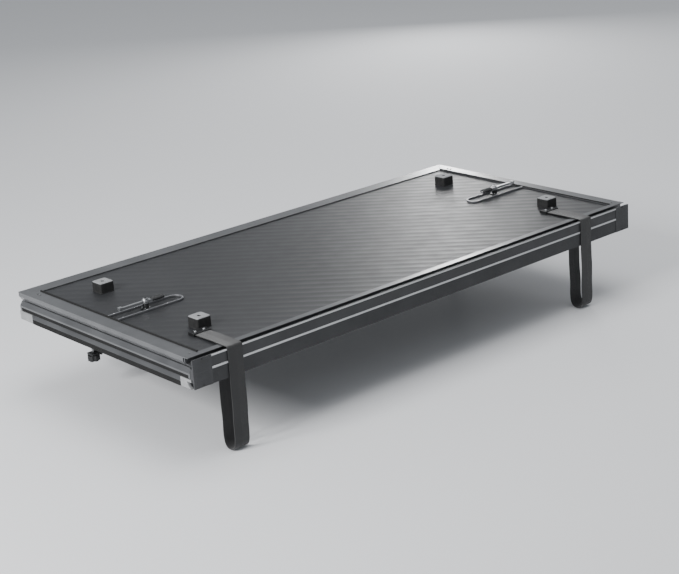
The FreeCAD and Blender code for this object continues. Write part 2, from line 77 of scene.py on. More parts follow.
LOG = logging.getLogger("tonneau")
MM = 0.001
SHARP = math.radians(35)
WELD_DISTANCE = 1e-6
UP, DOWN = Vector((0, 0, 1)), Vector((0, 0, -1))
FRONT, SPACER, FOLDED = "front_panel", "spacer", "folded_panels"


class Side(Enum):
    """Left and right of the vehicle, with the sign of X there."""

    LEFT = -1
    RIGHT = 1

    @property
    def word(self) -> str:
        """The word that node names end in."""
        return self.name.lower()


class Weave(Enum):
    """How a webbing is woven."""

    PLAIN = "plain"
    HERRINGBONE = "herringbone"


# ---- colour and nodes --------------------------------------------------------------

Tree, Socket = bpy.types.NodeTree, bpy.types.NodeSocket


def linear(code: str) -> tuple[float, float, float, float]:
    """Turn an sRGB hex colour into linear RGBA.

    Args:
        code: Six hex digits, with or without a leading #.

    Returns:
        Linear red, green, blue and an alpha of one.
    """
    digits = code.lstrip("#")
    parts = [int(digits[i:i + 2], 16) / 255 for i in (0, 2, 4)]
    rgb = [p / 12.92 if p <= 0.04045 else ((p + 0.055) / 1.055) ** 2.4 for p in parts]
    return (rgb[0], rgb[1], rgb[2], 1.0)


def add_node(tree: Tree, kind: str, settings: dict, output: int | str = 0) -> Socket:
    """Add one shader node with its settings and incoming links.

    Args:
        tree: The material's node tree.
        kind: The node's type name without the ShaderNode prefix.
        settings: Values by attribute name; values or sockets by input name or index.
        output: The output that is wanted.

    Returns:
        That output's socket.
    """
    node = tree.nodes.new("ShaderNode" + kind)
    for key, value in settings.items():
        if isinstance(key, str) and hasattr(node, key):
            setattr(node, key, value)
        elif isinstance(value, Socket):
            tree.links.new(value, node.inputs[key])
        else:
            node.inputs[key].default_value = value
    return node.outputs[output]


def two_tone(tree: Tree, fac: Socket, dark: str, light: str, low: float = 0.35, high: float = 0.65) -> Socket:
    """Blend two hex colours by a grey value.

    Args:
        tree: The material's node tree.
        fac: The grey value.
        dark: Colour at and below low.
        light: Colour at and above high.
        low: Grey value where the blend starts.
        high: Grey value where it ends.

    Returns:
        The colour.
    """
    colour = add_node(tree, "ValToRGB", {"Fac": fac}, "Color")
    first, last = colour.node.color_ramp.elements
    first.position, first.color = low, linear(dark)
    last.position, last.color = high, linear(light)
    return colour


def grain(tree: Tree, size_mm: float, detail: float = 3.0,
          stretch: tuple[float, float, float] = (1, 1, 1)) -> Socket:
    """Noise whose lumps have a real size on the piece.

    Args:
        tree: The material's node tree.
        size_mm: Width of one lump.
        detail: Octaves of finer noise.
        stretch: How much longer the lumps are along each axis.

    Returns:
        The grey value.
    """
    place = add_node(tree, "TexCoord", {}, "Object")
    scale = [1 / (size_mm * MM * s) for s in stretch]
    mapped = add_node(tree, "Mapping", {"Scale": scale, "Vector": place})
    settings = {"Scale": 1.0, "Detail": detail, "Roughness": 0.55, "Vector": mapped}
    return add_node(tree, "TexNoise", settings, "Fac")


def along(tree: Tree, direction: tuple[float, float, float]) -> Socket:
    """Measure distance on the piece along a direction.

    Args:
        tree: The material's node tree.
        direction: A unit vector.

    Returns:
        The distance in metres.
    """
    place = add_node(tree, "TexCoord", {}, "Object")
    return add_node(tree, "VectorMath", {"operation": "DOT_PRODUCT", 0: place, 1: direction}, "Value")


# ---- finishes ----------------------------------------------------------------------


@dataclass(frozen=True)
class Finish:
    """One real finish: what it is called, its colours and how it shines.

    cloud_mm is the width of the patches in its colour. depth_mm is the height of its relief, and
    shown is the share of that which shows. The roughness wanders from smoother below to rougher above.
    """

    name: str
    slot: str
    dark: str
    light: str
    roughness: float = 0.5
    metallic: float = 0.0
    cloud_mm: float = 100.0
    depth_mm: float = 0.1
    shown: float = 0.5
    smoother: float = 0.0
    rougher: float = 0.0

    def material(self) -> bpy.types.Material:
        """Give the material, made the first time that it is asked for.

        Returns:
            The material.
        """
        found = bpy.data.materials.get(self.name)
        if found:
            return found
        made = bpy.data.materials.new(self.name)
        made.use_nodes = True
        tree = made.node_tree
        shader = tree.nodes["Principled BSDF"]
        shader.inputs["Roughness"].default_value = self.roughness
        shader.inputs["Metallic"].default_value = self.metallic
        made.diffuse_color = linear(self.light)
        self.paint(tree, shader)
        return made

    def paint(self, tree: Tree, shader: bpy.types.Node) -> None:
        """Link the pattern of this finish into the shader of a node tree."""
        raise NotImplementedError

    def tint(self, tree: Tree, shader: bpy.types.Node, fac: Socket, low: float = 0.35,
             high: float = 0.65) -> None:
        """Colour the surface from dark at the grey value low to light at high."""
        tree.links.new(two_tone(tree, fac, self.dark, self.light, low, high), shader.inputs["Base Color"])

    def gloss(self, tree: Tree, shader: bpy.types.Node, fac: Socket) -> None:
        """Let the roughness wander with a grey value.

        Args:
            tree: The material's node tree.
            shader: The shader that takes the roughness.
            fac: The grey value.
        """
        rough = add_node(tree, "MapRange", {"To Min": self.roughness - self.smoother,
                                            "To Max": self.roughness + self.rougher, "Value": fac})
        tree.links.new(rough, shader.inputs["Roughness"])

    def relief(self, tree: Tree, shader: bpy.types.Node, height: Socket) -> None:
        """Give the surface a bump as deep as depth_mm between black and white.

        Args:
            tree: The material's node tree.
            shader: The shader that takes the normal.
            height: Grey height of the surface.
        """
        depth = self.depth_mm * MM
        bump = add_node(tree, "Bump", {"Strength": self.shown, "Distance": depth, "Height": height})
        tree.links.new(bump, shader.inputs["Normal"])


@dataclass(frozen=True)
class PowderCoat(Finish):
    """Aluminium extrusion, sprayed and baked: satin, with a faint orange peel in its reflections."""

    cloud_mm: float = 140
    depth_mm: float = 0.06
    shown: float = 0.6
    smoother: float = 0.06
    rougher: float = 0.07
    peel_mm: float = 1.6
    patch_mm: float = 30
    coat: float = 0.35
    coat_roughness: float = 0.18

    def paint(self, tree: Tree, shader: bpy.types.Node) -> None:
        """Cloudy colour, orange peel and roughness that wanders.

        Args:
            tree: The material's node tree.
            shader: The shader that takes the pattern.
        """
        self.tint(tree, shader, grain(tree, self.cloud_mm, 2))
        self.gloss(tree, shader, grain(tree, self.patch_mm))
        self.relief(tree, shader, grain(tree, self.peel_mm, 2))
        shader.inputs["Coat Weight"].default_value = self.coat
        shader.inputs["Coat Roughness"].default_value = self.coat_roughness


@dataclass(frozen=True)
class PressedSheet(Finish):
    """Coated aluminium sheet, rolled with a fine twill: a charcoal face with faint slanting streaks."""

    cloud_mm: float = 260
    depth_mm: float = 0.07
    smoother: float = 0.05
    rougher: float = 0.12
    twill_mm: float = 9.0
    dust_mm: float = 45
    tooth_mm: float = 1.2
    tooth_share: float = 0.35

    def paint(self, tree: Tree, shader: bpy.types.Node) -> None:
        """Diagonal twill in the height, over a dusty cloud of colour and gloss.

        Args:
            tree: The material's node tree.
            shader: The shader that takes the pattern.
        """
        slant = along(tree, (math.sqrt(0.5), math.sqrt(0.5), 0))
        turn = 2 * math.pi / (self.twill_mm * MM)
        turns = add_node(tree, "Math", {"operation": "MULTIPLY", 0: slant, 1: turn})
        wave = add_node(tree, "Math", {"operation": "SINE", 0: turns})
        height = add_node(tree, "MapRange", {"To Min": 0.0, "To Max": 1.0, "Value": wave})
        self.tint(tree, shader, grain(tree, self.cloud_mm), 0.3, 0.7)
        self.gloss(tree, shader, grain(tree, self.dust_mm, 5))
        fine = grain(tree, self.tooth_mm, 2)
        tooth = add_node(tree, "Math", {"operation": "MULTIPLY", 0: fine, 1: self.tooth_share})
        self.relief(tree, shader, add_node(tree, "Math", {"operation": "ADD", 0: height, 1: tooth}))


@dataclass(frozen=True)
class LeatherGrainSheet(Finish):
    """Coated sheet of a panel's weather side, embossed: matt black that breaks up into pebbles."""

    cloud_mm: float = 200
    depth_mm: float = 0.25
    pebble_mm: float = 2.6

    def paint(self, tree: Tree, shader: bpy.types.Node) -> None:
        """Pebbles from a cell pattern, drawn a little coarser than real so that they show.

        Args:
            tree: The material's node tree.
            shader: The shader that takes the pattern.
        """
        place = add_node(tree, "TexCoord", {}, "Object")
        cells = add_node(tree, "TexVoronoi", {"Scale": 1 / (self.pebble_mm * MM), "Vector": place}, "Distance")
        self.relief(tree, shader, cells)
        self.tint(tree, shader, grain(tree, self.cloud_mm))


@dataclass(frozen=True)
class SpongeRubber(Finish):
    """Extruded EPDM sponge: dull black with a dusty bloom and open pores."""

    cloud_mm: float = 60
    depth_mm: float = 0.2
    shown: float = 0.7
    pore_mm: float = 0.9

    def paint(self, tree: Tree, shader: bpy.types.Node) -> None:
        """Pores in the height and bloom in the colour.

        Args:
            tree: The material's node tree.
            shader: The shader that takes the pattern.
        """
        self.tint(tree, shader, grain(tree, self.cloud_mm, 4), 0.3, 0.75)
        self.relief(tree, shader, grain(tree, self.pore_mm, 4))


@dataclass(frozen=True)
class FineTexture(Finish):
    """Moulded plastic, coated steel or pressed board: even colour, softened by a fine grain."""

    cloud_mm: float = 22
    depth_mm: float = 0.18
    shown: float = 0.7
    spark_mm: float = 0.8

    def paint(self, tree: Tree, shader: bpy.types.Node) -> None:
        """Flow marks in the colour, and a grainy height.

        Args:
            tree: The material's node tree.
            shader: The shader that takes the pattern.
        """
        self.tint(tree, shader, grain(tree, self.cloud_mm, 3, (3, 1, 1)), 0.3, 0.7)
        self.relief(tree, shader, grain(tree, self.spark_mm))


@dataclass(frozen=True)
class BeadedExtrusion(Finish):
    """Coated spacer extrusion on a dark face, with bands along each bead painted in bright metallic colour as
    painted highlights.
    """

    cloud_mm: float = 90
    depth_mm: float = 0.06
    # Painted highlights: colours, metallic share and smoothness of the bright bands along each bead, and where
    # the bands lie.
    highlight_dark: str = "#9c9d9f"
    highlight_light: str = "#d4d5d6"
    bead_low: float = 0.0421
    bead_high: float = 0.0499
    edge_low: float = 0.0748
    proud: float = 0.0012
    highlight_metallic: float = 0.85
    coat_rough: tuple[float, float] = (0.44, 0.58)
    highlight_smoother: float = 0.2
    highlight_streak_mm: float = 0.6
    patch_mm: float = 14
    line_mm: float = 0.9

    def paint(self, tree: Tree, shader: bpy.types.Node) -> None:
        """Painted highlights: bright metallic colour in bands on the front face along each bead, and coat
        elsewhere.

        Args:
            tree: The material's node tree.
            shader: The shader that takes the pattern.
        """
        height = along(tree, (0, 0, 1))
        face = -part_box("spacer_cap_left")[0].y - self.proud
        proud = add_node(tree, "Math", {"operation": "GREATER_THAN", 0: along(tree, (0, -1, 0)), 1: face})
        above = add_node(tree, "Math", {"operation": "GREATER_THAN", 0: height, 1: self.bead_low})
        below = add_node(tree, "Math", {"operation": "LESS_THAN", 0: height, 1: self.bead_high})
        edge = add_node(tree, "Math", {"operation": "GREATER_THAN", 0: height, 1: self.edge_low})
        middle = add_node(tree, "Math", {"operation": "MULTIPLY", 0: above, 1: below})
        both = add_node(tree, "Math", {"operation": "MAXIMUM", 0: middle, 1: edge})
        # Mask of the bands painted as highlights.
        highlight_bands = add_node(tree, "Math", {"operation": "MULTIPLY", 0: both, 1: proud})
        coat = two_tone(tree, grain(tree, self.cloud_mm), self.dark, self.light)
        highlight_streaks = grain(tree, self.highlight_streak_mm, 3, (60, 1, 1))
        metal = two_tone(tree, highlight_streaks, self.highlight_dark, self.highlight_light, 0.2, 0.8)
        mix = add_node(tree, "Mix", {"data_type": "RGBA", 0: highlight_bands, 6: coat, 7: metal}, 2)
        tree.links.new(mix, shader.inputs["Base Color"])
        highlight_metal_share = add_node(tree, "Math", {"operation": "MULTIPLY", 0: highlight_bands, 1: self.highlight_metallic})
        tree.links.new(highlight_metal_share, shader.inputs["Metallic"])
        matt = add_node(tree, "MapRange", {"To Min": self.coat_rough[0], "To Max": self.coat_rough[1],
                                           "Value": grain(tree, self.patch_mm)})
        less = add_node(tree, "Math", {"operation": "MULTIPLY", 0: highlight_bands, 1: self.highlight_smoother})
        rough = add_node(tree, "Math", {"operation": "SUBTRACT", 0: matt, 1: less})
        tree.links.new(rough, shader.inputs["Roughness"])
        self.relief(tree, shader, grain(tree, self.line_mm, 2, (20, 1, 1)))


@dataclass(frozen=True)
class BrushedMetal(Finish):
    """Steel or aluminium rubbed along its length with a fine grit: a gleam drawn out in streaks."""

    depth_mm: float = 0.03
    smoother: float = 0.08
    rougher: float = 0.1
    grit_mm: float = 0.5
    run: tuple[float, float, float] = (40, 1, 1)

    def paint(self, tree: Tree, shader: bpy.types.Node) -> None:
        """Long scratches in the colour, the gloss and the height.

        Args:
            tree: The material's node tree.
            shader: The shader that takes the pattern.
        """
        scratch = grain(tree, self.grit_mm, 4, self.run)
        self.tint(tree, shader, scratch, 0.2, 0.8)
        self.gloss(tree, shader, scratch)
        self.relief(tree, shader, scratch)


@dataclass(frozen=True)
class PadRubber(Finish):
    """Compression-moulded rubber: matt black sides and a top painted paler grey."""

    cloud_mm: float = 9
    depth_mm: float = 0.2
    shown: float = 0.7
    # Paler grey of the pad's top, and the height above which it is painted.
    top_dark: str = "#838486"
    top_light: str = "#a3a4a6"
    top_above: float = 0.1085
    patch_mm: float = 14
    top_grain_mm: float = 3
    grit_mm: float = 1.1

    def paint(self, tree: Tree, shader: bpy.types.Node) -> None:
        """Paler grey on the pad's top, in patches, with a granular height.

        Args:
            tree: The material's node tree.
            shader: The shader that takes the pattern.
        """
        height = along(tree, (0, 0, 1))
        # Mask of the pad's top, which is painted paler grey in patches.
        rubbed = add_node(tree, "Math", {"operation": "GREATER_THAN", 0: height, 1: self.top_above})
        patches = grain(tree, self.patch_mm, 4)
        cover = add_node(tree, "MapRange", {"To Min": 0.75, "To Max": 1.0, "Value": patches})
        patchy = add_node(tree, "Math", {"operation": "MULTIPLY", 0: rubbed, 1: cover})
        base = two_tone(tree, grain(tree, self.cloud_mm), self.dark, self.light)
        top = two_tone(tree, grain(tree, self.top_grain_mm, 4), self.top_dark, self.top_light, 0.3, 0.7)
        mix = add_node(tree, "Mix", {"data_type": "RGBA", 0: patchy, 6: base, 7: top}, 2)
        tree.links.new(mix, shader.inputs["Base Color"])
        self.relief(tree, shader, grain(tree, self.grit_mm))


@dataclass(frozen=True)
class Webbing(Finish):
    """Woven polyester: dull black yarn with a soft sheen and ridges that change direction."""

    depth_mm: float = 0.12
    shown: float = 0.8
    yarn_mm: float = 2.6
    weave: Weave = Weave.HERRINGBONE
    warp_pitch: float = 0.9
    warp_share: float = 0.5
    sheen: float = 0.35
    sheen_roughness: float = 0.45

    def paint(self, tree: Tree, shader: bpy.types.Node) -> None:
        """Herringbone ridges from the piece's own lengthwise and crosswise millimetres, with painted light and
        shade: the colour is lighter on their crests and darker in their grooves.

        The yarn is drawn about twice as coarse as it is, or it would not show.

        Args:
            tree: The material's node tree.
            shader: The shader that takes the pattern.
        """
        cloth = add_node(tree, "UVMap", {"uv_map": "cloth"})
        across = add_node(tree, "SeparateXYZ", {0: cloth})
        length = across.node.outputs["Y"]
        fold = across
        if self.weave is Weave.HERRINGBONE:
            fold = add_node(tree, "Math", {"operation": "ABSOLUTE", 0: across})
        slant = add_node(tree, "Math", {"operation": "ADD", 0: fold, 1: length})
        turn = 2 * math.pi / (self.yarn_mm * MM)
        weft_turns = add_node(tree, "Math", {"operation": "MULTIPLY", 0: slant, 1: turn})
        warp_turns = add_node(tree, "Math", {"operation": "MULTIPLY", 0: across, 1: turn * self.warp_pitch})
        ridges = add_node(tree, "Math", {"operation": "SINE", 0: weft_turns})
        warp = add_node(tree, "Math", {"operation": "SINE", 0: warp_turns})
        low_warp = add_node(tree, "Math", {"operation": "MULTIPLY", 0: warp, 1: self.warp_share})
        height = add_node(tree, "Math", {"operation": "ADD", 0: ridges, 1: low_warp})
        # Painted light and shade: the colour follows the weave's height, lighter on the crests and darker in
        # the grooves.
        grey = add_node(tree, "MapRange", {"To Min": 0.25, "To Max": 0.8, "Value": height})
        self.tint(tree, shader, grey, 0.2, 0.9)
        self.relief(tree, shader, height)
        shader.inputs["Sheen Weight"].default_value = self.sheen
        shader.inputs["Sheen Roughness"].default_value = self.sheen_roughness


# Satin mid-grey frames that catch the light along their edges.
RAIL = PowderCoat("rail_powder_coated_aluminium", "rail_aluminium", "#555658", "#646567", 0.32, 0.45)
# Near-black undersides with a low sheen, and duller pebbled weather sides.
SHEET = PressedSheet("panel_pressed_coated_sheet", "panel_skin", "#232426", "#2c2d2f", 0.42)
WEATHER = LeatherGrainSheet("panel_textured_black_sheet", "panel_skin", "#1d1e1f", "#2a2b2c", 0.55)
# Dull black lines between the panels: black rubber, its colour darkened to near black to stand also as painted
# shade in the gaps between the panels.
SEAL = SpongeRubber("seal_sponge_rubber", "seal_rubber", "#050505", "#111111", 0.85)
# Pale blocks at the front panel's corners, and dark caps at the spacer's ends.
BLOCK = FineTexture("corner_block_grey_nylon", "block_plastic", "#868788", "#9d9e9f", 0.5)
CAP = FineTexture("spacer_cap_textured_nylon", "cap_plastic", "#2c2d2f", "#38393b", 0.5, spark_mm=1.4)
# Dark spacer bar, with painted highlights: bands of bright metallic colour along each bead on its front face.
BAR = BeadedExtrusion("spacer_beaded_extrusion", "spacer_aluminium", "#292a2c", "#333436", 0.45)
# Bright metals, from polished pins to a grey anodised guide.
PIN = BrushedMetal("hinge_pin_bright_steel", "pin_steel", "#7c7d7f", "#b9babb", 0.3, 1.0)
LATCH = BrushedMetal("latch_satin_cast_aluminium", "latch_metal", "#b9babc", "#e6e7e8", 0.3, 1.0)
GUIDE = BrushedMetal("latch_guide_grey_anodised", "latch_guide", "#6f7073", "#8d8e91", 0.4, 0.6)
ZINC = BrushedMetal("screw_zinc_plated_steel", "pin_steel", "#8f9092", "#c3c4c6", 0.34, 1.0, grit_mm=0.8)
PAD = PadRubber("bump_pad_moulded_rubber", "pad_rubber", "#161616", "#232323", 0.7)
# Black webbing with painted light and shade, lighter on the crests of its weave and darker in the grooves, sewn
# with a greyer thread.
STRAP = Webbing("strap_black_polyester_webbing", "strap_webbing", "#141414", "#39393a", 0.8)
THREAD = Webbing("strap_stitching_thread", "strap_webbing", "#4e4e50", "#808082", 0.7, yarn_mm=1.0,
                 weave=Weave.PLAIN)
# Small black parts with a slight gloss, and the pale board inside the panels.
FITTING = FineTexture("fitting_black_coated_steel", "fitting_steel", "#141415", "#242526", 0.42, 0.2)
KNOB = FineTexture("clamp_knob_black_plastic", "knob_plastic", "#121213", "#1f2021", 0.5)
GRIP = FineTexture("latch_grip_soft_sleeve", "knob_plastic", "#202122", "#2f3031", 0.6)
BOARD = FineTexture("core_moulded_board", "core_board", "#8c8b84", "#9d9c95", 0.8)

NODE_FINISHES: tuple[tuple[str, Finish], ...] = (
    ("_core", BOARD), ("_top_skin", WEATHER), ("_bottom_skin", SHEET), ("seal", SEAL), ("corner_blocks", BLOCK),
    ("spacer_cap", CAP), ("spacer_bar", BAR), ("hinge_pin", PIN), ("bump_pad", PAD), ("latch_arm", LATCH),
    ("latch_nuts", ZINC), ("latch_channel", GUIDE), ("latch_post", FITTING), ("strap_anchor", FITTING),
    ("strap_lower", FITTING), ("clamp_screw", KNOB), ("clamp_", FITTING), ("rail", RAIL),
)
NODE_EDGES_MM: tuple[tuple[str, float], ...] = (
    ("_core", 0.0), ("_skin", 0.0), ("pin", 0.0), ("spacer_bar", 0.0), ("corner_blocks", 1.6),
    ("spacer_cap", 0.5), ("latch_arm", 0.8), ("latch", 0.5), ("strap_anchor", 0.5), ("strap_lower", 0.6),
    ("clamp", 0.6), ("rail", 0.9),
)


# ---- mesh helpers ------------------------------------------------------------------


def new_piece(name: str, mesh: bpy.types.Mesh, finish: Finish, smooth: bool = True) -> bpy.types.Object:
    """Put a mesh into the scene as a piece with its finish.

    Args:
        name: Name of the piece.
        mesh: Its mesh, in the shared frame.
        finish: What it is made of.
        smooth: Whether gentle edges are shaded round.

    Returns:
        The new object.
    """
    piece = bpy.data.objects.new(name, mesh)
    bpy.context.scene.collection.objects.link(piece)
    mesh.materials.append(finish.material())
    if smooth:
        mesh.shade_smooth()
        mesh.set_sharp_from_angle(angle=SHARP)
    return piece


def mesh_of(name: str, shape: bmesh.types.BMesh) -> bpy.types.Mesh:
    """Turn a bmesh into a mesh and free it.

    Args:
        name: Name of the mesh.
        shape: The bmesh.

    Returns:
        The mesh, with its faces turned outwards.
    """
    bmesh.ops.recalc_face_normals(shape, faces=shape.faces)
    mesh = bpy.data.meshes.new(name)
    shape.to_mesh(mesh)
    shape.free()
    return mesh


def skin_rows(shape: bmesh.types.BMesh, rows: Sequence[Sequence[bmesh.types.BMVert]]) -> None:
    """Cover equal closed rows of corners with quads, and close both ends.

    Args:
        shape: The bmesh that holds the corners.
        rows: The rows, from one end to the other.
    """
    around = len(rows[0])
    for low, high in zip(rows, rows[1:]):
        for i in range(around):
            j = (i + 1) % around
            shape.faces.new((low[i], low[j], high[j], high[i]))
    shape.faces.new(list(reversed(rows[0])))
    shape.faces.new(rows[-1])


def add_turned(shape: bmesh.types.BMesh, outline: Sequence[tuple[float, float]], place: Vector, axis: Vector,
               around: int = 24) -> None:
    """Add a turned body to a bmesh.

    Args:
        shape: The bmesh that it goes into.
        outline: Radius and height of each ring, from one end to the other.
        place: Where height zero is.
        axis: Direction of growing height.
        around: Corners of each ring.
    """
    turn = axis.normalized().to_track_quat("Z", "Y").to_matrix().to_4x4()
    matrix = Matrix.Translation(place) @ turn
    rings = []
    for radius, height in outline:
        ring = []
        for i in range(around):
            angle = 2 * math.pi * i / around
            corner = Vector((radius * math.cos(angle), radius * math.sin(angle), height))
            ring.append(shape.verts.new(matrix @ corner))
        rings.append(ring)
    skin_rows(shape, rings)


@dataclass(frozen=True)
class Turned:
    """One turned body: its outline, where it stands and which way its height grows."""

    outline: Sequence[tuple[float, float]]
    place: Vector
    axis: Vector
    around: int = 24


def turned_piece(name: str, parts: Iterable[Turned], finish: Finish, body: str) -> bpy.types.Object:
    """Make one piece of turned bodies.

    Args:
        name: Name of the piece.
        parts: The turned bodies.
        finish: What they are made of.
        body: The body that the piece rides on.

    Returns:
        The piece.
    """
    shape = bmesh.new()
    for part in parts:
        add_turned(shape, part.outline, part.place, part.axis, part.around)
    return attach(new_piece(name, mesh_of(name, shape), finish), body)


def pan_head(radius: float) -> list[tuple[float, float]]:
    """Outline of a low domed screw or rivet head with a socket.

    Args:
        radius: Radius of the head.

    Returns:
        Radius and height of each ring, from a fifth of a radius sunk in.
    """
    rim, dome, sunk = 0.22 * radius, 0.42 * radius, 0.2 * radius
    rings = [(radius * math.cos(a), rim + dome * math.sin(a)) for a in (0.0, 0.35, 0.75, 1.1, 1.4)]
    return [(radius, -sunk)] + rings + [(0.42 * radius, 0.64 * radius), (0.38 * radius, 0.3 * radius)]


def heads_piece(name: str, places: Iterable[tuple[Vector, Vector]], radius: float, finish: Finish,
                body: str) -> bpy.types.Object:
    """Make a group of equal screw or rivet heads.

    Args:
        name: Name of the piece.
        places: Seat and outward direction of each head.
        radius: Radius of a head.
        finish: What they are made of.
        body: The body that they ride on.

    Returns:
        The piece.
    """
    return turned_piece(name, [Turned(pan_head(radius), seat, out) for seat, out in places], finish, body)


def middle_of(node: str) -> Vector:
    """Middle of a CAD node's box."""
    low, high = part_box(node)
    return (low + high) / 2


# ---- the sub-assemblies --------------------------------------------------------------


@dataclass
class CadDress:
    """Finish and edge break of every CAD node that stays visible."""

    finishes: tuple[tuple[str, Finish], ...] = NODE_FINISHES
    edges_mm: tuple[tuple[str, float], ...] = NODE_EDGES_MM

    def build(self) -> None:
        """Dress each node by the first rule that its name matches."""
        for name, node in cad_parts.items():
            finish = next((f for part, f in self.finishes if part in name), None)
            if finish:
                node.data.materials.clear()
                node.data.materials.append(finish.material())
            width = next((w for part, w in self.edges_mm if part in name), 0.0)
            if width:
                self.break_edges(node, width * MM)
        LOG.info("dressed %d nodes", len(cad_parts))

    def break_edges(self, node: bpy.types.Object, width: float) -> None:
        """Round the sharp edges a little, as deburring and paint do.

        Args:
            node: The CAD node.
            width: Width of the rounding.
        """
        weld = node.modifiers.new("weld", "WELD")
        weld.merge_threshold = WELD_DISTANCE
        bevel = node.modifiers.new("edge_break", "BEVEL")
        bevel.width = width
        bevel.segments = 2
        bevel.limit_method = "ANGLE"
        bevel.angle_limit = SHARP
        bevel.harden_normals = True


@dataclass
class PressedSkin:
    """Underside sheet of a panel with shallow swages pressed in across its corners."""

    node: str
    body: str
    outward: int
    pitch: float = 0.036
    swage: float = 0.016
    height: float = 0.00042
    profile: tuple[tuple[float, float], ...] = ((-0.5, 0.0), (-0.3, 0.75), (0.0, 1.0), (0.3, 0.75), (0.5, 0.0))

    def build(self) -> bpy.types.Object:
        """Make the swaged sheet and clip it to the panel's opening.

        Returns:
            The sheet, which stands for the plain CAD one.
        """
        low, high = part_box(self.node)
        face = high.z if self.outward > 0 else low.z
        back = low.z if self.outward > 0 else high.z
        reach = (high.x - low.x + high.y - low.y) * math.sqrt(0.5) / 2 + self.pitch
        middle = (low + high) / 2
        run, step = Vector((1, -1, 0)).normalized(), Vector((1, 1, 0)).normalized()
        shape = bmesh.new()
        lines = []
        count = math.ceil(reach / self.pitch)
        for i in range(-count, count + 1):
            for offset, share in self.profile:
                across = i * self.pitch + offset * self.swage
                z = face + self.outward * self.height * (share - 1)
                centre = Vector((middle.x, middle.y, z)) + step * across
                lines.append([shape.verts.new(centre + run * end * reach) for end in (-1, 1)])
        for (a, b), (c, d) in zip(lines, lines[1:]):
            shape.faces.new((a, b, d, c))
        for point, normal in ((low, (-1, 0, 0)), (high, (1, 0, 0)), (low, (0, -1, 0)), (high, (0, 1, 0))):
            bmesh.ops.bisect_plane(shape, geom=shape.verts[:] + shape.edges[:] + shape.faces[:],
                                   plane_co=point, plane_no=normal, clear_outer=True)
        rim = [e for e in shape.edges if e.is_boundary]
        skirt = bmesh.ops.extrude_edge_only(shape, edges=rim)["geom"]
        for vert in [g for g in skirt if isinstance(g, bmesh.types.BMVert)]:
            vert.co.z = back
        bottom = [e for e in shape.edges if e.is_boundary]
        bmesh.ops.edgeloop_fill(shape, edges=bottom)
        piece = new_piece(self.node.replace("bottom_skin", "pressed_sheet"), mesh_of(self.node, shape), SHEET)
        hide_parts(self.node)
        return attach(piece, self.body)


@dataclass
class SealStrip:
    """Extruded sponge seal with rounded lobes, on one side of the cover or on both."""

    node: str
    body: str
    run_axis: int
    out_axis: int
    out_sign: int = 1
    lobes: int = 2
    step: float = 0.011
    wander: float = 0.00022
    waves: tuple[float, float] = (21, 53)
    foot: float = 0.35
    valley: float = 0.52
    fullness: float = 0.55
    squeeze: float = 0.98
    end_taper: float = 0.9

    def section(self) -> list[tuple[float, float]]:
        """Draw the outline across the strip.

        Returns:
            Share of the width and share of the height of each corner.
        """
        outline = [(0.0, 0.0), (0.0, self.foot)]
        samples = 7 * self.lobes
        for i in range(samples + 1):
            u = i / samples
            swell = abs(math.sin(math.pi * self.lobes * u)) ** self.fullness
            outline.append((u, self.valley + (1 - self.valley) * swell))
        return outline + [(1.0, self.foot), (1.0, 0.0)]

    def solids(self) -> list[tuple[Vector, Vector]]:
        """Box of each solid of the CAD node, left and right of the middle.

        Returns:
            Lowest and highest corner of each.
        """
        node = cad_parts[self.node]
        corners = [node.matrix_world @ v.co for v in node.data.vertices]
        groups = [corners]
        if self.run_axis:
            groups = [[c for c in corners if c.x < 0], [c for c in corners if c.x >= 0]]
        return [(Vector(min(c[i] for c in g) for i in range(3)), Vector(max(c[i] for c in g) for i in range(3)))
                for g in groups]

    def build(self) -> bpy.types.Object:
        """Sweep the section through each solid's box.

        Returns:
            The seal, which stands for the plain CAD one.
        """
        shape = bmesh.new()
        lateral = 3 - self.run_axis - self.out_axis
        for number, (low, high) in enumerate(self.solids()):
            sign = self.out_sign * (1 if number or not self.run_axis or self.out_axis else -1)
            length = high[self.run_axis] - low[self.run_axis]
            count = max(2, int(length / self.step))
            rows = []
            for i in range(count + 1):
                at = length * i / count
                taper = 1 if 0 < i < count else self.end_taper
                shift = self.wander * (math.sin(at * self.waves[0] + number) + math.sin(at * self.waves[1])) / 2
                row = []
                for u, v in self.section():
                    place = Vector()
                    place[self.run_axis] = low[self.run_axis] + at
                    width = high[lateral] - low[lateral]
                    place[lateral] = low[lateral] + width * (0.5 + (u - 0.5) * self.squeeze * taper) + shift * v
                    depth = high[self.out_axis] - low[self.out_axis]
                    share = v if sign > 0 else 1 - v
                    place[self.out_axis] = low[self.out_axis] + depth * share
                    row.append(shape.verts.new(place))
                rows.append(row)
            skin_rows(shape, rows)
        piece = new_piece(self.node + "_sponge", mesh_of(self.node, shape), SEAL)
        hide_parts(self.node)
        LOG.info("seal %s", self.node)
        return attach(piece, self.body)


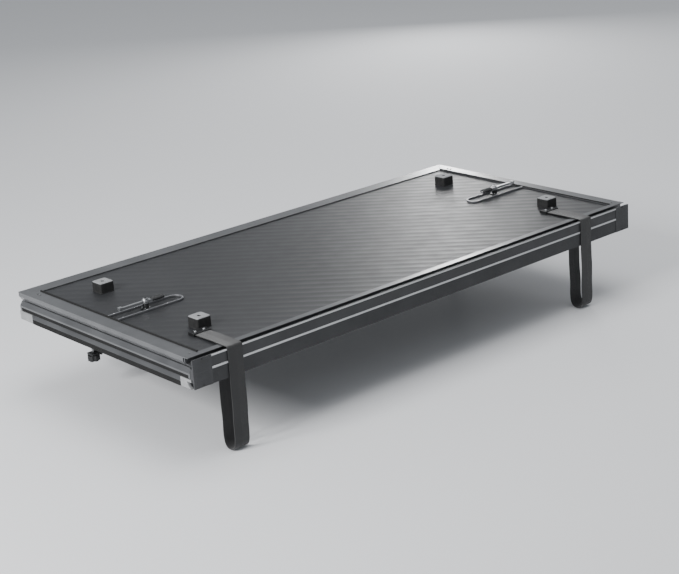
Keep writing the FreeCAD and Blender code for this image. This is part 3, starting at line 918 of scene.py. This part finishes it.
@dataclass
class BumpPad:
    """Moulded rubber pad with a foot line, soft corners and a sunk screw."""

    node: str
    corners: int = 64
    hole_depth: float = 0.007
    screw_radius: float = 0.0046

    def rings(self, half_width: float, height: float) -> list[tuple[float, float, float]]:
        """Draw the pad from its foot line up over the top and down into the screw's hole.

        Args:
            half_width: Half the pad's width.
            height: The pad's height.

        Returns:
            Half width, squareness and height of each ring.
        """
        outline = [(1.0, 12, 0.0), (1.0, 12, 0.0014), (0.985, 12, 0.0019), (0.965, 12, 0.0024),
                   (0.965, 12, 0.0032), (0.99, 12, 0.0038)]
        outline += [(0.99 - 0.012 * s, 12, 0.0038 + s * (height - 0.0078)) for s in (0.2, 0.5, 0.8, 1.0)]
        outline += [(0.965, 11, height - 0.0022), (0.925, 10, height - 0.0008), (0.87, 9, height - 0.0001),
                    (0.6, 5, height - 0.0001), (0.34, 3, height - 0.0004), (0.27, 2, height - 0.0007),
                    (0.24, 2, height - 0.0016), (0.24, 2, height - self.hole_depth)]
        return [(share * half_width, power, up) for share, power, up in outline]

    def build(self) -> None:
        """Loft the pad and set its screw."""
        low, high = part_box(self.node)
        middle = (low + high) / 2
        shape = bmesh.new()
        rows = []
        for reach, power, up in self.rings((high.x - low.x) / 2, high.z - low.z):
            row = []
            for i in range(self.corners):
                angle = 2 * math.pi * (i + 0.5) / self.corners
                c, s = math.cos(angle), math.sin(angle)
                radius = reach / (abs(c) ** power + abs(s) ** power) ** (1 / power)
                row.append(shape.verts.new((middle.x + radius * c, middle.y + radius * s, low.z + up)))
            rows.append(row)
        skin_rows(shape, rows)
        piece = new_piece(self.node + "_moulded", mesh_of(self.node, shape), PAD)
        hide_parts(self.node)
        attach(piece, FOLDED)
        seat = Vector((middle.x, middle.y, high.z - self.hole_depth))
        heads_piece(self.node + "_screw", [(seat, UP)], self.screw_radius, ZINC, FOLDED)
        LOG.info("pad %s", self.node)


@dataclass
class StorageStrap:
    """One storage strap: over the rear edge, down the face, and round in a slack loop."""

    side: Side
    width: float = 0.046
    thickness: float = 0.0020
    selvedge: float = 0.0004
    selvedge_at: float = 0.93
    selvedge_half: float = 0.07
    step: float = 0.002
    ripple: float = 0.0012
    ripple_waves: float = 37
    lean: float = 0.003
    columns: int = 14
    bend: float = 0.005
    stitch_box: float = 0.016
    stitch_pitch: float = 0.0036
    stitch_setback: float = 0.034

    def corner_route(self) -> list[Vector]:
        """Centre line from the anchor over the rear edge to the middle of the face.

        Returns:
            Its control points.
        """
        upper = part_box("strap_upper_" + self.side.word)
        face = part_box("strap_face_" + self.side.word)
        x = (upper[0].x + upper[1].x) / 2
        top = (upper[0].z + upper[1].z) / 2
        front = (face[0].y + face[1].y) / 2
        spots = [(upper[1].y - 0.002, top), (upper[1].y - 0.045, top + 0.0004),
                 (front + 0.07, top + 0.0012), (front + 0.032, top + 0.0002),
                 (front + self.bend, top + 0.0002), (front, top - self.bend * 0.4),
                 (front, top - 0.018), (front, middle_of("spacer_bar").z)]
        return [Vector((x, y, z)) for y, z in spots]

    def face_route(self) -> list[Vector]:
        """Centre line from the middle of the face to where the slack loop starts.

        Returns:
            Its control points.
        """
        face = middle_of("strap_face_" + self.side.word)
        middle = middle_of("spacer_bar").z
        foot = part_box("strap_loop_" + self.side.word)[1].z
        return [Vector((face.x, face.y, z)) for z in (middle, middle * 0.75, middle * 0.5, middle * 0.25, foot)]

    def loop_route(self) -> list[Vector]:
        """Centre line of the slack loop, from the face down and back up to the lower anchor.

        Returns:
            Its control points.
        """
        low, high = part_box("strap_loop_" + self.side.word)
        x = (low.x + high.x) / 2
        near = low.y + self.thickness / 2
        far = high.y - self.thickness / 2
        middle = (near + far) / 2
        foot = low.z + self.thickness / 2
        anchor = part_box("strap_lower_anchors")[0].z
        lean = self.lean * self.side.value
        points = [(near, high.z), (near, -0.030), (near - 0.001, -0.075), (near + 0.001, -0.120),
                  (near, -0.158),
                  (near + 0.003, foot + 0.012), (middle - 0.010, foot), (middle + 0.010, foot),
                  (far - 0.003, foot + 0.012), (far, -0.158), (far - 0.002, -0.120), (far + 0.001, -0.075),
                  (far, -0.035), (far, anchor)]
        return [Vector((x + lean * math.sin(math.pi * i / (len(points) - 1)), y, z))
                for i, (y, z) in enumerate(points)]

    def smooth_line(self, route: Sequence[Vector], name: str) -> list[Vector]:
        """Points along the smooth spline that a route controls.

        Args:
            route: Control points of the spline.
            name: Name for the passing curve.

        Returns:
            Points about one step apart.
        """
        data = bpy.data.curves.new(name, "CURVE")
        data.dimensions = "3D"
        spline = data.splines.new("NURBS")
        spline.points.add(len(route) - 1)
        for point, place in zip(spline.points, route):
            point.co = (*place, 1.0)
        spline.order_u = 3
        spline.use_endpoint_u = True
        spline.resolution_u = 16
        curve = bpy.data.objects.new(name, data)
        mesh = bpy.data.meshes.new_from_object(curve)
        raw = [v.co.copy() for v in mesh.vertices]
        bpy.data.meshes.remove(mesh)
        bpy.data.objects.remove(curve)
        bpy.data.curves.remove(data)
        line = [raw[0]]
        for point in raw[1:-1]:
            if min((point - line[-1]).length, (point - raw[-1]).length) >= self.step:
                line.append(point)
        return line + [raw[-1]]

    def ribbon(self, name: str, line: Sequence[Vector], start: float, finish: Finish) -> bpy.types.Object:
        """Sweep the webbing's section along a line.

        Args:
            name: Name of the piece.
            line: The centre line.
            start: Length of strap before this run, which keeps the weave in step.
            finish: What the webbing is made of.

        Returns:
            The piece, closed, with its own lengthwise and crosswise millimetres as a UV map.
        """
        shape = bmesh.new()
        cloth = shape.loops.layers.uv.new("cloth")
        sideways = Vector((1, 0, 0))
        rows, lengths, travelled = [], [], start
        around = [(-1 + 2 * i / self.columns, 1) for i in range(self.columns + 1)]
        around += [(1 - 2 * i / self.columns, -1) for i in range(self.columns + 1)]
        for i, centre in enumerate(line):
            ahead = line[min(i + 1, len(line) - 1)] - line[max(i - 1, 0)]
            out = sideways.cross(ahead).normalized()
            if i:
                travelled += (centre - line[i - 1]).length
            lengths.append(travelled)
            row = []
            for across, face in around:
                thick = self.thickness / 2
                if abs(across) > self.selvedge_at - self.selvedge_half:
                    thick += self.selvedge * (1 - abs(abs(across) - self.selvedge_at) / self.selvedge_half)
                cup = self.ripple * math.sin(travelled * self.ripple_waves) * (across ** 2 - 0.4) * 0.3
                place = centre + sideways * across * self.width / 2 + out * (face * thick + cup)
                row.append(shape.verts.new(place))
            rows.append(row)
        skin_rows(shape, rows)
        marks = {vert: (across * self.width / 2, length)
                 for row, length in zip(rows, lengths) for vert, (across, _) in zip(row, around)}
        for quad in [face for face in shape.faces if len(face.verts) == 4]:
            for loop in quad.loops:
                loop[cloth].uv = marks[loop.vert]
        return new_piece(name, mesh_of(name, shape), finish)

    def stitches(self, line_start: Vector) -> bpy.types.Object:
        """Sew the box stitch that holds the folded end at the anchor.

        Args:
            line_start: The strap's end.

        Returns:
            The stitching.
        """
        shape = bmesh.new()
        half_box, pitch = self.stitch_box, self.stitch_pitch
        z = line_start.z + self.thickness / 2 + 0.0002
        start = line_start - Vector((0, self.stitch_setback, 0))
        corners = [(-half_box, 0), (half_box, 0), (half_box, -2 * half_box), (-half_box, -2 * half_box)]
        runs = list(zip(corners, corners[1:] + corners[:1]))
        runs += [(corners[0], corners[2]), (corners[1], corners[3])]
        outline = [(0.0001, 0), (0.00042, 0.0003), (0.00045, pitch * 0.35), (0.00042, pitch * 0.62),
                   (0.0001, pitch * 0.7)]
        for (x0, y0), (x1, y1) in runs:
            length = math.hypot(x1 - x0, y1 - y0)
            direction = Vector(((x1 - x0) / length, (y1 - y0) / length, 0))
            for i in range(int(length / pitch)):
                seat = Vector((start.x + x0, start.y + y0, z)) + direction * (i + 0.2) * pitch
                add_turned(shape, outline, seat, direction, 6)
        name = "strap_stitching_" + self.side.word
        mesh = mesh_of(name, shape)
        mesh.uv_layers.new(name="cloth")
        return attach(new_piece(name, mesh, THREAD), FOLDED)

    def build(self) -> None:
        """Make the three runs; only the slack loop is put on a body, the front panel."""
        word = self.side.word
        corner = self.smooth_line(self.corner_route(), "corner")
        face = self.smooth_line(self.face_route(), "face")
        loop = self.smooth_line(self.loop_route(), "loop")
        lengths = [sum((b - a).length for a, b in zip(run, run[1:])) for run in (corner, face, loop)]
        upper = self.ribbon("strap_over_edge_" + word, corner, 0.0, STRAP)
        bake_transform(upper)
        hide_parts("strap_upper_" + word)
        lower = self.ribbon("strap_down_face_" + word, face, lengths[0], STRAP)
        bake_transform(lower)
        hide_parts("strap_face_" + word)
        slack = self.ribbon("strap_slack_loop_" + word, loop, lengths[0] + lengths[1], STRAP)
        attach(slack, FRONT)
        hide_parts("strap_loop_" + word)
        self.stitches(corner[0])
        LOG.info("strap %s: runs of %s mm", word, [round(v * 1000) for v in lengths])


@dataclass
class TurnLatch:
    """Turn latch of the middle panel: soft sleeve on the grip, washer and guide screws."""

    side: Side
    sleeve_start: float = 0.018
    ring_pitch: float = 0.0042
    groove_radius: float = 0.0086
    crest_radius: float = 0.0092
    swell: float = 0.0009
    flattened: tuple[float, float, float] = (1, 1.02, 0.66)
    washer_sunk: float = 0.0010
    rivet_in: float = 0.0025
    flange_radius: float = 0.0105
    flange_up: float = 0.003

    def build(self) -> None:
        """Dress the arm and the guide channel."""
        self.sleeve()
        self.washer()
        self.guide_screws()
        LOG.info("latch %s", self.side.word)

    def sleeve(self) -> None:
        """Ringed soft sleeve over the inner half of the arm, flattened as the arm is."""
        word, sign = self.side.word, self.side.value
        low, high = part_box("latch_arm_" + word)
        post = middle_of("latch_post_" + word)
        inner_end = high.x if sign < 0 else low.x
        shape = bmesh.new()
        rings = int((abs(inner_end - post.x) - self.sleeve_start) / self.ring_pitch)
        groove, crest = self.groove_radius, self.crest_radius
        outline = [(0.004, -0.0004)]
        for i in range(rings):
            swell = self.swell * math.sin(math.pi * i / rings)
            ring = ((groove, 0.0002), (crest, 0.0012), (crest, 0.0028), (groove, 0.0038))
            outline += [(radius + swell, i * self.ring_pitch + up) for radius, up in ring]
        outline += [(0.0082, rings * self.ring_pitch + 0.0006), (0.0055, rings * self.ring_pitch + 0.0022)]
        seat = Vector((post.x - sign * self.sleeve_start, post.y, low.z + (high.z - low.z) / 2))
        add_turned(shape, outline, seat, Vector((-sign, 0, 0)), 28)
        squeeze = Matrix.Translation(seat) @ Matrix.Diagonal((*self.flattened, 1)) @ Matrix.Translation(-seat)
        bmesh.ops.transform(shape, matrix=squeeze, verts=shape.verts)
        name = "latch_grip_sleeve_" + word
        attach(new_piece(name, mesh_of(name, shape), GRIP), "latch_" + word)

    def washer(self) -> None:
        """Zinc washer between the arm and its nut."""
        word = self.side.word
        post = middle_of("latch_post_" + word)
        rim = [(0.0045, 0.0), (0.0092, 0.0), (0.0095, 0.0004), (0.0092, 0.0009), (0.0045, 0.0009)]
        seat = Vector((post.x, post.y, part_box("latch_arm_" + word)[1].z - self.washer_sunk))
        turned_piece("latch_washer_" + word, [Turned(rim, seat, UP, 32)], ZINC, "latch_" + word)

    def guide_screws(self) -> None:
        """Rivets along both sides of the guide, and four screws round the post."""
        word, sign = self.side.word, self.side.value
        post = middle_of("latch_post_" + word)
        low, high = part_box("latch_channel_" + word)
        outer_x = low.x if sign < 0 else high.x
        spots = []
        for share in (0.08, 0.42, 0.72):
            x = outer_x - sign * share * (high.x - low.x)
            for y in (low.y + self.rivet_in, high.y - self.rivet_in):
                spots.append((Vector((x, y, high.z)), UP))
        heads_piece("latch_guide_rivets_" + word, spots, 0.0019, ZINC, FOLDED)
        flange = [(Vector((post.x + self.flange_radius * math.cos(a), post.y + self.flange_radius * math.sin(a),
                           low.z + self.flange_up)), UP) for a in (math.pi * k / 4 for k in (1, 3, 5, 7))]
        heads_piece("latch_post_screws_" + word, flange, 0.0021, ZINC, FOLDED)


@dataclass
class Fasteners:
    """Rivets and screws that hold the frames, the caps and the strap anchors."""

    rivet_in: float = 0.008
    rear_rivet_in: float = 0.063
    anchor_screw_in: float = 0.0135
    cap_screw_in: float = 0.045
    block_screw_up: float = 0.018
    block_screw_sunk: float = 0.0015

    def frame_corners(self) -> None:
        """Rivets beside the mitred corners of each panel's frame."""
        for rail, face, out, body in (("middle_side_rail_", 1, UP, FOLDED),
                                      ("front_side_rail_", 0, DOWN, FRONT),
                                      ("rear_side_rail_", 0, DOWN, FOLDED)):
            spots = []
            for side in Side:
                low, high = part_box(rail + side.word)
                middle = (low.x + high.x) / 2
                z = (low, high)[face].z
                hinge_end = self.rear_rivet_in if rail == "rear_side_rail_" else self.rivet_in
                for y in (high.y - 0.062, high.y - 0.076, low.y + hinge_end):
                    spots.append((Vector((middle, y, z)), out))
            heads_piece(rail + "rivets", spots, 0.0032, RAIL, body)

    def cap_screws(self) -> None:
        """Two screws in each end cap of the spacer."""
        for side in Side:
            low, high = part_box("spacer_cap_" + side.word)
            x = (low.x + high.x) / 2
            spots = [(Vector((x, low.y, low.z + share * (high.z - low.z))), Vector((0, -1, 0)))
                     for share in (self.cap_screw_in, 1 - self.cap_screw_in)]
            heads_piece("spacer_cap_screws_" + side.word, spots, 0.0026, FITTING, SPACER)

    def anchor_screws(self) -> None:
        """Two screws on each upper strap anchor."""
        for side in Side:
            low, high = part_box("strap_anchor_" + side.word)
            y = (low.y + high.y) / 2
            spots = [(Vector((x, y, high.z)), UP)
                     for x in (low.x + self.anchor_screw_in, high.x - self.anchor_screw_in)]
            heads_piece("strap_anchor_screws_" + side.word, spots, 0.0040, ZINC, FOLDED)

    def corner_blocks(self) -> None:
        """Three sunk screws in the side of the front panel's corner blocks, at the left and the right."""
        low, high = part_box("front_corner_blocks")
        for side in Side:
            x = (low.x if side is Side.LEFT else high.x) - side.value * self.block_screw_sunk
            spots = [(Vector((x, y, low.z + self.block_screw_up)), Vector((side.value, 0, 0)))
                     for y in (low.y + 0.036, high.y - 0.030, high.y - 0.012)]
            heads_piece("corner_block_screws_" + side.word, spots, 0.0030, ZINC, FRONT)

    def build(self) -> None:
        """Place every group."""
        self.frame_corners()
        self.corner_blocks()
        self.cap_screws()
        self.anchor_screws()
        LOG.info("fasteners placed")


@dataclass
class CapRibs:
    """Fine moulded ribs across the face of a spacer end cap."""

    side: Side
    pitch: float = 0.0034
    rise: float = 0.00035
    radius: float = 0.0007
    end_radius: float = 0.0002
    margin: float = 0.007
    chamfer: float = 0.0006

    def build(self) -> None:
        """Lay the ribs over the lower and the upper half of the face."""
        low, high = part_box("spacer_cap_" + self.side.word)
        count = int((high.z - low.z - 2 * self.margin) / self.pitch)
        length = high.x - low.x - 2 * self.margin
        end = self.end_radius
        outline = [(end, 0.0), (self.radius, self.chamfer), (self.radius, length - self.chamfer), (end, length)]
        ribs = []
        for i in range(count):
            if i == count // 2:
                continue
            z = low.z + self.margin + (i + 0.5) * self.pitch
            seat = Vector((low.x + self.margin, low.y - self.rise + self.radius, z))
            ribs.append(Turned(outline, seat, Vector((1, 0, 0)), 10))
        turned_piece("spacer_cap_ribs_" + self.side.word, ribs, CAP, SPACER)


@dataclass
class BedClamp:
    """Clamp under the front panel: ribbed rubber on the jaw and thread on the screw."""

    side: Side
    thread_pitch: float = 0.0030
    ribs: int = 4
    first_rib: float = 0.0025
    rib_pitch: float = 0.003
    rib_inset: float = 0.002
    thread_above_knob: float = 0.026

    def build(self) -> None:
        """Add the jaw's rubber and the screw's thread."""
        word, sign = self.side.word, self.side.value
        low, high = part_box("clamp_jaw_" + word)
        outer = low.x if sign < 0 else high.x
        length = high.y - low.y - 2 * self.rib_inset
        outline = [(0.0004, 0), (0.0011, 0.0004), (0.0011, length - 0.0004), (0.0004, length)]
        ribs = []
        for i in range(self.ribs):
            x = outer - sign * (self.first_rib + self.rib_pitch * i)
            ribs.append(Turned(outline, Vector((x, low.y + self.rib_inset, high.z)), Vector((0, 1, 0)), 12))
        turned_piece("clamp_jaw_rubber_" + word, ribs, SEAL, "jaw_" + word)

        screw_low, screw_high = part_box("clamp_screw_" + word)
        middle = (screw_low + screw_high) / 2
        start = screw_low.z + self.thread_above_knob
        outline = [(0.0036, 0)]
        turns = int((screw_high.z - start) / self.thread_pitch) - 1
        for i in range(turns):
            outline += [(0.00412, (i + 0.3) * self.thread_pitch), (0.00392, (i + 0.8) * self.thread_pitch)]
        outline += [(0.0036, turns * self.thread_pitch)]
        thread = Turned(outline, Vector((middle.x, middle.y, start)), UP, 20)
        turned_piece("clamp_screw_thread_" + word, [thread], ZINC, "screw_" + word)
        LOG.info("clamp %s", word)


@dataclass(frozen=True)
class SoftLight:
    """One soft rectangular light: where it is, where it looks, its sides and its power in watts."""

    name: str
    place: tuple[float, float, float]
    target: tuple[float, float, float]
    size: tuple[float, float]
    power: float


@dataclass
class Studio:
    """Pale floor, soft lights and a camera where the viewer stands."""

    eye: Vector = field(default_factory=lambda: Vector((-2.841, -3.750, 1.457)))
    aim_up: float = -0.045
    lens: float = 84.0
    lean_degrees: float = -4.0
    far_clip: float = 100.0
    drop: float = 0.003
    floor_half: float = 30.0
    sky: str = "#e9edf2"
    sky_strength: float = 0.5
    lamps: tuple[SoftLight, ...] = (
        SoftLight("key_left", (-4.2, -0.6, 2.2), (0, -0.385, 0.05), (1.6, 1.2), 230),
        SoftLight("soft_top", (0.4, -0.6, 4.2), (0, -0.385, 0.05), (4.0, 3.0), 110),
        SoftLight("far_strip", (3.6, 2.8, 1.6), (0.42, -0.385, 0.08), (0.3, 2.4), 44),
    )

    def build(self) -> None:
        """Make the stage."""
        self.floor()
        self.lights()
        self.camera()

    def floor(self) -> None:
        """Plain pale floor just under the lowest piece."""
        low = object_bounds()[0].z - self.drop
        shape = bmesh.new()
        bmesh.ops.create_grid(shape, x_segments=1, y_segments=1, size=self.floor_half)
        mesh = mesh_of("floor", shape)
        floor = bpy.data.objects.new("floor", mesh)
        floor.location = (0, 0, low)
        bpy.context.scene.collection.objects.link(floor)
        material = bpy.data.materials.new("stage_floor_paper")
        material.use_nodes = True
        shader = material.node_tree.nodes["Principled BSDF"]
        shader.inputs["Base Color"].default_value = linear("#e6e7e9")
        shader.inputs["Roughness"].default_value = 0.85
        shader.inputs["Specular IOR Level"].default_value = 0.2
        mesh.materials.append(material)
        floor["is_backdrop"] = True

    def area(self, lamp: SoftLight) -> None:
        """Add one soft light.

        Args:
            lamp: The light.
        """
        data = bpy.data.lights.new(lamp.name, "AREA")
        data.shape = "RECTANGLE"
        data.size, data.size_y = lamp.size
        data.energy = lamp.power
        light = bpy.data.objects.new(lamp.name, data)
        light.location = lamp.place
        sight = Vector(lamp.target) - Vector(lamp.place)
        light.rotation_euler = sight.to_track_quat("-Z", "Y").to_euler()
        bpy.context.scene.collection.objects.link(light)

    def lights(self) -> None:
        """Pale surroundings, a key from the left, a soft top and a far strip for the sheen."""
        world = bpy.data.worlds.new("pale_studio")
        bpy.context.scene.world = world
        world.use_nodes = True
        surroundings = world.node_tree.nodes["Background"]
        surroundings.inputs["Color"].default_value = linear(self.sky)
        surroundings.inputs["Strength"].default_value = self.sky_strength
        for lamp in self.lamps:
            self.area(lamp)

    def camera(self) -> None:
        """Camera aimed at the middle of the cover, and leant a little."""
        data = bpy.data.cameras.new("camera")
        data.lens = self.lens
        data.clip_end = self.far_clip
        camera = bpy.data.objects.new("camera", data)
        low, high = CAD_BOX
        target = Vector(((low.x + high.x) / 2, (low.y + high.y) / 2, self.aim_up))
        camera.location = self.eye
        lean = Quaternion((0, 0, 1), math.radians(self.lean_degrees))
        camera.rotation_euler = ((target - self.eye).to_track_quat("-Z", "Y") @ lean).to_euler()
        bpy.context.scene.collection.objects.link(camera)
        bpy.context.scene.camera = camera


def main() -> None:
    """Build every piece."""
    logging.basicConfig(level=logging.INFO, format="%(name)s: %(message)s")
    for side in Side:
        StorageStrap(side).build()
    CadDress().build()
    for row in ("rear", "cab"):
        for side in Side:
            BumpPad("bump_pad_" + row + "_" + side.word).build()
    SealStrip("front_side_seals", FRONT, 1, 0, lobes=3).build()
    SealStrip("rear_side_seals", FOLDED, 1, 0).build()
    SealStrip("middle_side_seals", FOLDED, 1, 2).build()
    SealStrip("bulkhead_seal", FRONT, 0, 2, -1).build()
    SealStrip("tailgate_seal", FOLDED, 0, 2, -1, lobes=3).build()
    PressedSkin("middle_bottom_skin", FOLDED, 1).build()
    PressedSkin("rear_bottom_skin", FOLDED, -1).build()
    PressedSkin("front_bottom_skin", FRONT, -1).build()
    for side in Side:
        TurnLatch(side).build()
        CapRibs(side).build()
        BedClamp(side).build()
    Fasteners().build()
    Studio().build()


if __name__ == "__main__":
    main()
